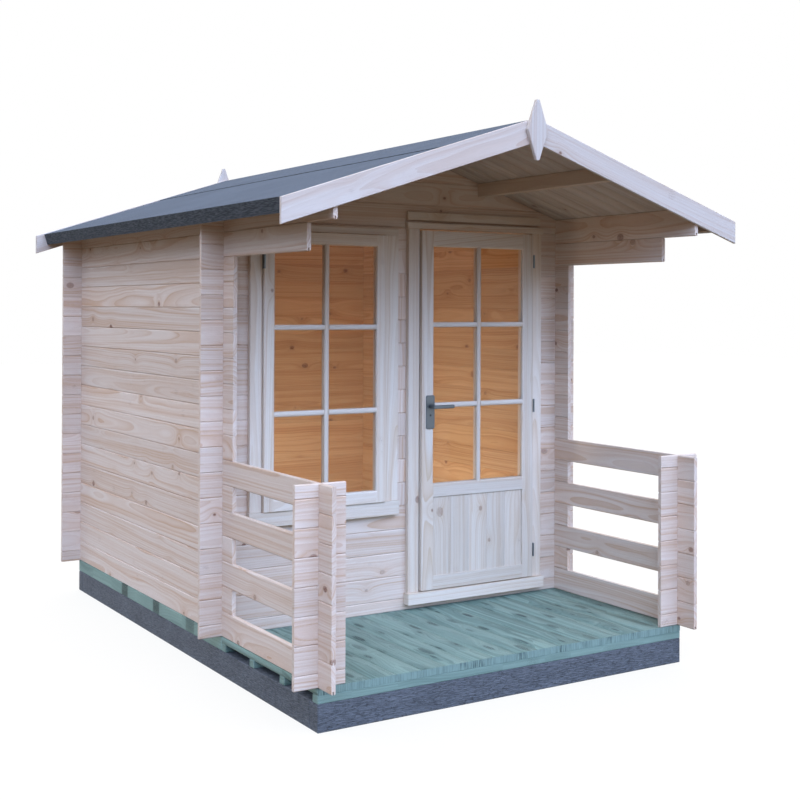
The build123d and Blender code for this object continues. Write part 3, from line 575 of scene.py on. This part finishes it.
# Tongues: each log's tongue runs on to its ends, where it fills the groove of the log above.
# It shows on the end grain of the corner stubs, the verandah posts and the roof brackets.
wall_low, wall_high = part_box("left_wall")
cross_low, cross_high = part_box("back_wall")
front_low, front_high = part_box("front_wall_left")
post_low, post_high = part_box("left_post")
log_height = 0.114
log_thick = 0.019
log_stub = 0.108
side_tongues = 16
cross_tongues = 17
rail_tongues = 6
post_tongues = 7
tongue_thick = 0.006
tongue_height = 0.012
tongue_shy = 0.0004
tongue_ease = 0.0005
first_side = wall_low.z + log_height + tongue_height / 2 - 2 * tongue_shy
first_cross = first_side - log_height / 2
bracket_tongue = first_side + (side_tongues - 1) * log_height
side_x = (wall_low.x + wall_high.x) / 2
front_y = (front_low.y + front_high.y) / 2
back_y = (cross_low.y + cross_high.y) / 2
post_y = post_low.y + log_stub + log_thick / 2
bracket_reach = 0.803
strips = []


def tongue_row(across, start, length, first, count, runs):
    """Lays the tongues of one stack of log ends, which run along X or along Y from their lower end."""
    if runs == "Y":
        turn, spot, width, depth = (pi / 2, 0, 0), (across, start + length, first), tongue_thick, tongue_height
    else:
        turn, spot, width, depth = (0, pi / 2, 0), (start, across, first), tongue_height, tongue_thick
    strips.append(lay_boards("tongues", pine_logs, Count=count, First=spot, Step=(0, 0, log_height), Turn=turn,
                             Length=length, Width=width, Depth=depth, Ease=tongue_ease, Seed=len(strips)))


stub = log_stub - 2 * tongue_shy
wing = wall_low.x - post_low.x - 2 * tongue_shy
back_wing = post_high.y - post_y - log_thick / 2 - 2 * tongue_shy
bracket = bracket_reach - log_stub
for way in (-1, 1):
    tongue_row(way * side_x, front_low.y - log_stub + tongue_shy, stub, first_side, side_tongues, "Y")
    tongue_row(way * side_x, cross_high.y + tongue_shy, stub, first_side, side_tongues, "Y")
    tongue_row(way * side_x, front_low.y - bracket_reach + tongue_shy, bracket, bracket_tongue, 1, "Y")
    tongue_row(way * side_x, post_low.y + tongue_shy, stub, first_side, rail_tongues, "Y")
    tongue_row(way * side_x, post_y + log_thick / 2 + tongue_shy, back_wing, first_side, rail_tongues, "Y")
for start in (cross_low.x + tongue_shy, tongue_shy - wall_low.x):
    tongue_row(front_y, start, stub, first_cross, cross_tongues, "X")
    tongue_row(back_y, start, stub, first_cross, cross_tongues, "X")
for start in (post_low.x, wall_high.x, -post_high.x, -wall_low.x):
    tongue_row(post_y, start + tongue_shy, wing, first_cross, post_tongues, "X")
bm = bmesh.new()
for strip in strips:
    bm.from_mesh(strip)
    bpy.data.meshes.remove(strip)
log_tongues = bpy.data.meshes.new("log_tongues")
bm.to_mesh(log_tongues)
bm.free()
fit_piece("log_tongues", log_tongues, pine_logs, "cabin", "pine_logs")

# Purlins: square-edged pine beams under the roof boards, let into the gables.
# They run on past the gables to carry the overhang and the barge boards.
# Its pine is written darker than the logs' as painted shade under the roof, with painted warm room light inside.
shaded_purlin_pine = wood_finish("shaded_purlin_pine", pale=(0.60, 0.475, 0.37), streak=(0.53, 0.385, 0.275),
                          late=(0.42, 0.26, 0.16), knot=knot_brown)
paint_room_light(shaded_purlin_pine)
purlin_arris = 0.003
fit_piece("roof_purlins", eased_copy("roof_purlins", ["purlins"], purlin_arris), shaded_purlin_pine, "cabin",
          "pine_boards", "purlins")

# Roof boards: thin tongued boards nailed down each slope, ridge to eave. Their undersides show all round
# the overhang and inside. Fascias close their ends at the eaves.
# This pine is written darker than the logs' as painted shade under the roof, with painted warm room light inside.
pine_boards = wood_finish("pine_boards", pale=(0.53, 0.45, 0.385), streak=(0.475, 0.375, 0.295),
                          late=(0.38, 0.26, 0.185), knot=knot_brown)
paint_room_light(pine_boards)
roof_pitch = radians(18.1)
roof_thick = 0.015
board_low, board_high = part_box("right_roof_boards")
roof_count = 34
roof_gap = 0.0015
roof_ease = 0.002
roof_step = (board_high.y - board_low.y) / roof_count
ridge_start = 0.0004
slope_length = (board_high.x - roof_thick * sin(roof_pitch)) / cos(roof_pitch) - ridge_start
ridge_z = board_low.z + (ridge_start + slope_length) * sin(roof_pitch)
for label, way, seed in (("right_roof_boards", 1, 11), ("left_roof_boards", -1, 12)):
    start = Vector((way * (ridge_start * cos(roof_pitch) + roof_thick / 2 * sin(roof_pitch)),
                    board_low.y + roof_step / 2, ridge_z + roof_thick / 2 * cos(roof_pitch)))
    tilt = Matrix.Rotation(way * (pi / 2 + roof_pitch), 3, "Y") @ Matrix.Rotation(pi / 2, 3, "Z")
    mesh = lay_boards(label, pine_boards, Count=roof_count, First=start, Step=(0, roof_step, 0),
                      Turn=tilt.to_euler(), Length=slope_length, Width=roof_step - roof_gap, Depth=roof_thick,
                      Ease=roof_ease, Seed=seed)
    fit_piece(label.replace("boards", "lining"), mesh, pine_boards, "cabin", "pine_boards", label)
fascia_arris = 0.002
fit_piece("fascias", eased_copy("fascias", ["eave_fascias"], fascia_arris), pine_boards, "cabin", "pine_boards",
          "eave_fascias")

# Roof felt: mineral felt in blue-grey slate chippings, turned down over the eaves and nailed,
# with a strip of the same felt over the ridge. The turned-down edge, picked out by facing sideways or down, is
# painted much darker as shade, with fine streaks.


def dress_nodes(finish, *nodes):
    """Gives a finish to CAD nodes whose shapes stay as they are."""
    for node in nodes:
        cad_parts[node].data.materials.clear()
        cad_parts[node].data.materials.append(finish)


felt_dark = (0.060, 0.072, 0.092, 1)
felt_pale = (0.110, 0.130, 0.164, 1)
# Painted shade: the two colours of the turned-down edge, much darker than the top
shaded_edge_dark = (0.040, 0.045, 0.052, 1)
shaded_edge_pale = (0.105, 0.112, 0.120, 1)
chips_a_metre = 420.0
chip_share = 0.6
cloud_share = 0.5
cloud_grain = (3, 3, 3)
weave_grain = (60, 26, 300)
chip_depth = 0.001
slate_felt, tree, shader = new_finish("slate_felt")
place = add_node(tree, "ShaderNodeTexCoord").outputs["Object"]
chips = add_node(tree, "ShaderNodeTexVoronoi", Vector=place, Scale=chips_a_metre).outputs
chip_dice = add_node(tree, "ShaderNodeSeparateColor", Color=chips["Color"]).outputs["Red"]
clouding = noise(tree, stretch(tree, place, cloud_grain), detail=4.0)
tint = calc(tree, "ADD", calc(tree, "MULTIPLY", chip_dice, chip_share),
            calc(tree, "MULTIPLY", clouding, cloud_share))
slates = blend(tree, ramp(tree, tint, low=0.1, high=1.0), felt_dark, felt_pale)
# Faces turned sideways or down get painted shade, the dark streaked edge colour
unshaded_top = ramp(tree, facing(tree, "Z"), low=0.3, high=0.8)
weave = noise(tree, stretch(tree, place, weave_grain), detail=3.0)
shaded_edge_colour = blend(tree, ramp(tree, weave, low=0.38, high=0.66), shaded_edge_dark, shaded_edge_pale)
tree.links.new(blend(tree, unshaded_top, shaded_edge_colour, slates), shader.inputs["Base Color"])
shader.inputs["Roughness"].default_value = 0.9
shader.inputs["Specular IOR Level"].default_value = 0.2
roughen(tree, shader, chips["Distance"], chip_depth)
dress_nodes(slate_felt, "roof_felt", "ridge_felt")

# Barge boards: planed pine boards on the roof's edges, cut plumb at both ends.
# A pointed finial covers the joint at each peak.
barge_pine = wood_finish("barge_pine", pale=(0.63, 0.56, 0.505), streak=(0.58, 0.465, 0.39),
                         late=(0.47, 0.32, 0.24), knot=knot_brown)
barge_arris = 0.002
finial_shortest = 0.01
barge_nodes = ["front_barge_boards", "back_barge_boards"]
fit_piece("barge_boards", eased_copy("barge_boards", barge_nodes, barge_arris), barge_pine, "cabin",
          "pine_joinery", *barge_nodes)
finial_nodes = ["front_finial", "back_finial"]
finials = eased_copy("finials", finial_nodes, barge_arris, finial_shortest, along=(0, 0, 1))
fit_piece("finials", finials, barge_pine, "cabin", "pine_joinery", *finial_nodes)

# Window: grooved jambs, head and sill around one sash with mortised corners.
# Pine bars before and behind its pane part it in six.
joinery_pine = wood_finish("joinery_pine", pale=(0.675, 0.592, 0.51), streak=(0.62, 0.50, 0.395),
                           late=(0.50, 0.345, 0.215), knot=knot_brown, ring=0.008, knots=0.25)
frame_pine = wood_finish("frame_pine", pale=(0.735, 0.645, 0.555), streak=(0.675, 0.545, 0.43),
                         late=(0.545, 0.375, 0.235), knot=knot_brown, ring=0.008, knots=0.25)
# Pine for the faces behind the panes and the inner bars, painted warmer as warm room light
room_lit_pine = wood_finish("room_lit_pine", pale=(0.68, 0.53, 0.40), streak=(0.60, 0.42, 0.29),
                         late=(0.48, 0.28, 0.16), knot=knot_brown, ring=0.008, knots=0.25)
joinery_arris = 0.0012
window_frame_nodes = ["window_jambs", "window_head", "window_sill"]
fit_piece("window_frame", eased_copy("window_frame", window_frame_nodes, joinery_arris), frame_pine, "cabin",
          "pine_joinery", *window_frame_nodes)
pane_bite = 0.0076
saw_play = 0.0002
lip_mould = 0.008


def light_of(ring, pane):
    """Gives the corners of a ring's glazed opening, from its pane, which stands in a slot all round."""
    ring_low, ring_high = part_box(ring)
    pane_low, pane_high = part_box(pane)
    return (Vector((pane_low.x + pane_bite, ring_low.y, pane_low.z + pane_bite)),
            Vector((pane_high.x - pane_bite, ring_high.y, pane_high.z - pane_bite)))


def frame_ring(label, node, body, finish, light_low, light_high, pane):
    """Fits a ring of stiles and rails, sawn apart beside its stiles and moulded round its light.

    Its faces behind the pane are painted a warmer pine, as painted warm room light.
    """
    saws = [((light_low.x + saw_play, 0, 0), (1, 0, 0)), ((light_high.x - saw_play, 0, 0), (1, 0, 0))]
    mesh = eased_copy(label, [node], joinery_arris, saw_cuts=saws, lip=(light_low, light_high, lip_mould))
    fit_piece(label, mesh, finish, body, "pine_joinery", node)
    mesh.materials.append(room_lit_pine)
    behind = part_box(pane)[1].y
    for face in mesh.polygons:
        middle = face.center
        if (middle.y > behind and light_low.x - saw_play < middle.x < light_high.x + saw_play
                and light_low.z - saw_play < middle.z < light_high.z + saw_play):
            face.material_index = 1


light_low, light_high = light_of("window_sash", "window_glass")
frame_ring("sash", "window_sash", "cabin", frame_pine, light_low, light_high, "window_glass")
bar_width = 0.0245
bar_ease = 0.004
bar_inset = 0.001
glass_gap = 0.0004


def fit_bars(label, body, pane, light_low, light_high):
    """Fits one upright and two cross bars before and behind a pane, parting it in six."""
    pane_low, pane_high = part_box(pane)
    middle = (light_low.x + light_high.x) / 2
    cross_step = (light_high.z - light_low.z + bar_width) / 3
    first_bar = light_low.z + cross_step - bar_width / 2
    for face, near, far, lap, finish in (
            ("outer", light_low.y + bar_inset, pane_low.y - glass_gap, lip_mould, joinery_pine),
            ("inner", pane_high.y + glass_gap, light_high.y - bar_inset, 0.0, room_lit_pine)):
        depth = (near + far) / 2
        upright = lay_boards(f"{label}_{face}_upright", finish, Count=1,
                             First=(middle, depth, light_low.z - lap), Step=(0, 0, 0), Turn=(0, 0, 0),
                             Length=light_high.z - light_low.z + 2 * lap, Width=bar_width, Depth=far - near,
                             Ease=bar_ease, Seed=21)
        fit_piece(upright.name, upright, finish, body, "pine_joinery")
        cross_length = (light_high.x - light_low.x - bar_width) / 2 + lap
        for half, start in (("left", light_low.x - lap), ("right", middle + bar_width / 2)):
            cross = lay_boards(f"{label}_{face}_{half}_bars", finish, Count=2,
                               First=(start, depth, first_bar), Step=(0, 0, cross_step), Turn=(0, pi / 2, 0),
                               Length=cross_length, Width=bar_width, Depth=far - near, Ease=bar_ease, Seed=22)
            fit_piece(cross.name, cross, finish, body, "pine_joinery")


fit_bars("window", "cabin", "window_glass", light_low, light_high)

# Glass: one clear sheet in the slot of the sash, and one in the slot of the door's leaf.
# It lets soft light through to the room, and mirrors and bends only what is seen.
glass_clear = (0.97, 0.99, 0.98, 1)
clear_glass, tree, shader = new_finish("clear_glass")
shader.inputs["Base Color"].default_value = (0.98, 1.0, 0.99, 1)
shader.inputs["Roughness"].default_value = 0.0
shader.inputs["IOR"].default_value = 1.2
shader.inputs["Transmission Weight"].default_value = 1.0
clear = add_node(tree, "ShaderNodeBsdfTransparent", Color=glass_clear)
rays = add_node(tree, "ShaderNodeLightPath").outputs
soft_rays = calc(tree, "MAXIMUM", rays["Is Shadow Ray"], rays["Is Diffuse Ray"])
either = add_node(tree, "ShaderNodeMixShader", Fac=soft_rays)
tree.links.new(shader.outputs["BSDF"], either.inputs[1])
tree.links.new(clear.outputs["BSDF"], either.inputs[2])
tree.links.new(either.outputs["Shader"], tree.nodes["Material Output"].inputs["Surface"])
dress_nodes(clear_glass, "window_glass", "door_glass")

# Hinges: pressed steel butts with a grey-green galvanised skin, let into the reveals.
# The window's are at its left, the door's at its right.
skin_dark = (0.12, 0.14, 0.15, 1)
skin_pale = (0.25, 0.28, 0.295, 1)
bloom_grain = (90, 90, 90)
hinge_steel, tree, shader = new_finish("hinge_steel")
place = add_node(tree, "ShaderNodeTexCoord").outputs["Object"]
bloom = noise(tree, stretch(tree, place, bloom_grain), detail=4.0)
tree.links.new(blend(tree, bloom, skin_dark, skin_pale), shader.inputs["Base Color"])
tree.links.new(ramp(tree, bloom, low=0.3, high=0.7, to_low=0.35, to_high=0.6), shader.inputs["Roughness"])
shader.inputs["Metallic"].default_value = 0.8
dress_nodes(hinge_steel, "window_hinges", "door_hinge_posts", "door_hinge_leaves")

# Door frame: grooved pine jambs, head and sill that slide over the ends of the logs.
# A planed cover board is fixed to the logs over the head.
door_frame_nodes = ["door_jambs", "door_head", "door_sill", "door_cover_board"]
fit_piece("door_frame", eased_copy("door_frame", door_frame_nodes, joinery_arris), frame_pine, "cabin",
          "pine_joinery", *door_frame_nodes)

# Door leaf: mortised pine stiles and rails around a glazed light with bars like the window's.
# A panel of upright boards fills the leaf below the light.
light_low, light_high = light_of("door_leaf", "door_glass")
frame_ring("leaf", "door_leaf", "door", joinery_pine, light_low, light_high, "door_glass")
fit_bars("door", "door", "door_glass", light_low, light_high)
panel_low, panel_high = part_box("door_panel")
panel_count = 5
panel_gap = 0.0004
panel_ease = 0.001
panel_step = (panel_high.x - panel_low.x) / panel_count
panel_middle = (panel_low.y + panel_high.y) / 2
panel = lay_boards("panel_boards", joinery_pine, Count=panel_count,
                   First=(panel_low.x + panel_step / 2, panel_middle, panel_low.z), Step=(panel_step, 0, 0),
                   Turn=(0, 0, 0), Length=panel_high.z - panel_low.z, Width=panel_step - panel_gap,
                   Depth=panel_high.y - panel_low.y, Ease=panel_ease, Seed=31)
fit_piece("panel_boards", panel, joinery_pine, "door", "pine_joinery", "door_panel")

# Handle: satin steel levers on one spindle, sprung to stay level.
# A long plate on each face of the leaf carries them.
satin_dark = (0.115, 0.14, 0.165, 1)
satin_pale = (0.18, 0.21, 0.24, 1)
brush_grain = (900, 900, 30)
steel_arris = 0.0012
steel_shortest = 0.0005
satin_steel, tree, shader = new_finish("satin_steel")
place = add_node(tree, "ShaderNodeTexCoord").outputs["Object"]
brushed = noise(tree, stretch(tree, place, brush_grain), detail=3.0)
tree.links.new(blend(tree, brushed, satin_dark, satin_pale), shader.inputs["Base Color"])
tree.links.new(ramp(tree, brushed, low=0.3, high=0.7, to_low=0.3, to_high=0.45), shader.inputs["Roughness"])
shader.inputs["Metallic"].default_value = 0.9
for label, node, body in (("handle_backplates", "handle_plates", "door"),
                          ("handle_levers", "door_levers", "lever")):
    steel = eased_copy(label, [node], steel_arris, steel_shortest)
    fit_piece(label, steel, satin_steel, body, "handle_steel", node)

# Lock: a steel barrel in the keyhole of each plate, set a little below its face and coloured near black as painted
# shade of the keyhole.
# A well in the barrel's middle takes the key.
lock_steel_shade, tree, shader = new_finish("lock_steel_shade")
# Near black: painted shade of the keyhole
shader.inputs["Base Color"].default_value = (0.02, 0.022, 0.025, 1)
shader.inputs["Roughness"].default_value = 0.5
shader.inputs["Metallic"].default_value = 0.6
plate_low, plate_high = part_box("handle_plates")
keyhole_height = 0.0665
lock_x = (plate_low.x + plate_high.x) / 2
lock_z = plate_low.z + keyhole_height
lock_sides = 8
lock_radius = 0.0036
lock_back = 0.0058
lock_face = 0.0012
key_radius = 0.0022
key_well = 0.0045
lock_rings = ((lock_radius, lock_back), (lock_radius, lock_face), (key_radius, lock_face), (key_radius, key_well))
bm = bmesh.new()
for plate_y, inward in ((plate_low.y, 1), (plate_high.y, -1)):
    rings = [[bm.verts.new((lock_x + radius * cos(2 * pi * step / lock_sides), plate_y + inward * sunk,
                            lock_z + radius * sin(2 * pi * step / lock_sides))) for step in range(lock_sides)]
             for radius, sunk in lock_rings]
    for ring, following in zip(rings, rings[1:]):
        for step in range(lock_sides):
            bm.faces.new((ring[step - 1], ring[step], following[step], following[step - 1]))
    bm.faces.new(rings[0])
    bm.faces.new(rings[-1])
bmesh.ops.recalc_face_normals(bm, faces=bm.faces)
lock_barrels = bpy.data.meshes.new("lock_barrels")
bm.to_mesh(lock_barrels)
bm.free()
fit_piece("lock_barrels", lock_barrels, lock_steel_shade, "door", "handle_steel")

# Studio: a pale floor that stays white to the camera but takes the cabin's shadow, a soft sky that is brighter
# in front, one small lamp in the room, and a camera at the photograph's place.


def seen_rays(tree):
    """Gives 1 for rays that the camera sees by, straight, mirrored or through glass, and else 0."""
    rays = add_node(tree, "ShaderNodeLightPath").outputs
    bent = calc(tree, "MAXIMUM", rays["Is Glossy Ray"], rays["Is Transmission Ray"])
    return calc(tree, "MAXIMUM", rays["Is Camera Ray"], bent)


floor_half = 30.0
floor_glow = 0.9
floor_mesh = bpy.data.meshes.new("studio_floor")
floor_mesh.from_pydata([(-floor_half, -floor_half, 0), (floor_half, -floor_half, 0),
                        (floor_half, floor_half, 0), (-floor_half, floor_half, 0)], [], [(0, 1, 2, 3)])
studio_floor = bpy.data.objects.new("studio_floor", floor_mesh)
bpy.context.scene.collection.objects.link(studio_floor)
floor_white, tree, shader = new_finish("floor_white")
shader.inputs["Base Color"].default_value = (0.12, 0.09, 0.06, 1)
shader.inputs["Roughness"].default_value = 0.9
shader.inputs["Specular IOR Level"].default_value = 0.0
shader.inputs["Emission Color"].default_value = (0.94, 0.97, 1.0, 1)
tree.links.new(calc(tree, "MULTIPLY", seen_rays(tree), floor_glow), shader.inputs["Emission Strength"])
floor_mesh.materials.append(floor_white)

# Sky: even cloud overhead, a bluish band low in front, which is warmer near the ground, and a weaker one behind
cloud_tint = (0.455, 0.47, 0.50)
cloud_least = 0.03
cloud_most = 3.5
front_way = (-0.16, -0.987, 0.0)
front_low_tint = (2.05, 2.18, 2.38, 1)
front_high_tint = (1.75, 2.75, 5.0, 1)
back_tint = (1.0, 1.08, 1.2)
seen_white = (1, 1, 1, 1)
sky = bpy.data.worlds.new("soft_sky")
bpy.context.scene.world = sky
sky.use_nodes = True
tree = sky.node_tree
seen = seen_rays(tree)
way = add_node(tree, "ShaderNodeTexCoord").outputs["Generated"]
height = calc(tree, "MAXIMUM", add_node(tree, "ShaderNodeSeparateXYZ", Vector=way).outputs["Z"], 0.0)
overhead = ramp(tree, height, low=0.34, high=0.54, to_low=cloud_least, to_high=cloud_most)
glow = scale_vector(tree, cloud_tint, overhead)
band = calc(tree, "MULTIPLY", ramp(tree, height, low=0.04, high=0.25),
            ramp(tree, height, low=0.6, high=0.95, to_low=1.0, to_high=0.0))
facing_front = add_node(tree, "ShaderNodeVectorMath", {"operation": "DOT_PRODUCT"}, Vector=way)
facing_front.inputs[1].default_value = front_way
ahead = ramp(tree, facing_front.outputs["Value"], low=0.08, high=0.78)
behind = ramp(tree, facing_front.outputs["Value"], low=-0.7, high=-0.1, to_low=1.0, to_high=0.0)
front_tint = blend(tree, ramp(tree, height, low=0.12, high=0.42), front_low_tint, front_high_tint)
for tint, share in ((front_tint, ahead), (back_tint, behind)):
    total = add_node(tree, "ShaderNodeVectorMath", {"operation": "ADD"}, Vector=glow)
    tree.links.new(scale_vector(tree, tint, calc(tree, "MULTIPLY", band, share)), total.inputs[1])
    glow = total.outputs["Vector"]
tree.links.new(blend(tree, seen, glow, seen_white), tree.nodes["Background"].inputs["Color"])

lamp_place = Vector((-0.5, 0.1, 0.42))
lamp_target = Vector((0.95, 0.7, 0.0))
lamp = bpy.data.lights.new("room_lamp", "AREA")
lamp.size = 0.7
lamp.energy = 21.0
lamp.color = (1.0, 0.98, 0.95)
room_lamp = bpy.data.objects.new("room_lamp", lamp)
room_lamp.location = lamp_place
room_lamp.rotation_euler = (lamp_target - lamp_place).to_track_quat("-Z", "Y").to_euler()
room_lamp.visible_camera = False
room_lamp.visible_glossy = False
room_lamp.visible_transmission = False
bpy.context.scene.collection.objects.link(room_lamp)

camera_place = Vector((-3.3186, -5.8234, 1.6601))
camera_yaw = 0.5592
camera_pitch = 0.0058
camera_roll = 0.0041
forward = Vector((sin(camera_yaw) * cos(camera_pitch), cos(camera_yaw) * cos(camera_pitch), sin(camera_pitch)))
level = forward.cross(Vector((0, 0, 1))).normalized()
upright = level.cross(forward)
camera_right = cos(camera_roll) * level + sin(camera_roll) * upright
camera_up = cos(camera_roll) * upright - sin(camera_roll) * level
camera_turn = Matrix((camera_right, camera_up, -forward)).transposed()
lens = bpy.data.cameras.new("camera")
lens.sensor_width = 36.0
lens.lens = 56.91
lens.shift_y = -0.124
camera = bpy.data.objects.new("camera", lens)
camera.matrix_world = Matrix.Translation(camera_place) @ camera_turn.to_4x4()
bpy.context.scene.collection.objects.link(camera)
bpy.context.scene.camera = camera
bpy.context.scene.view_settings.view_transform = "Standard"
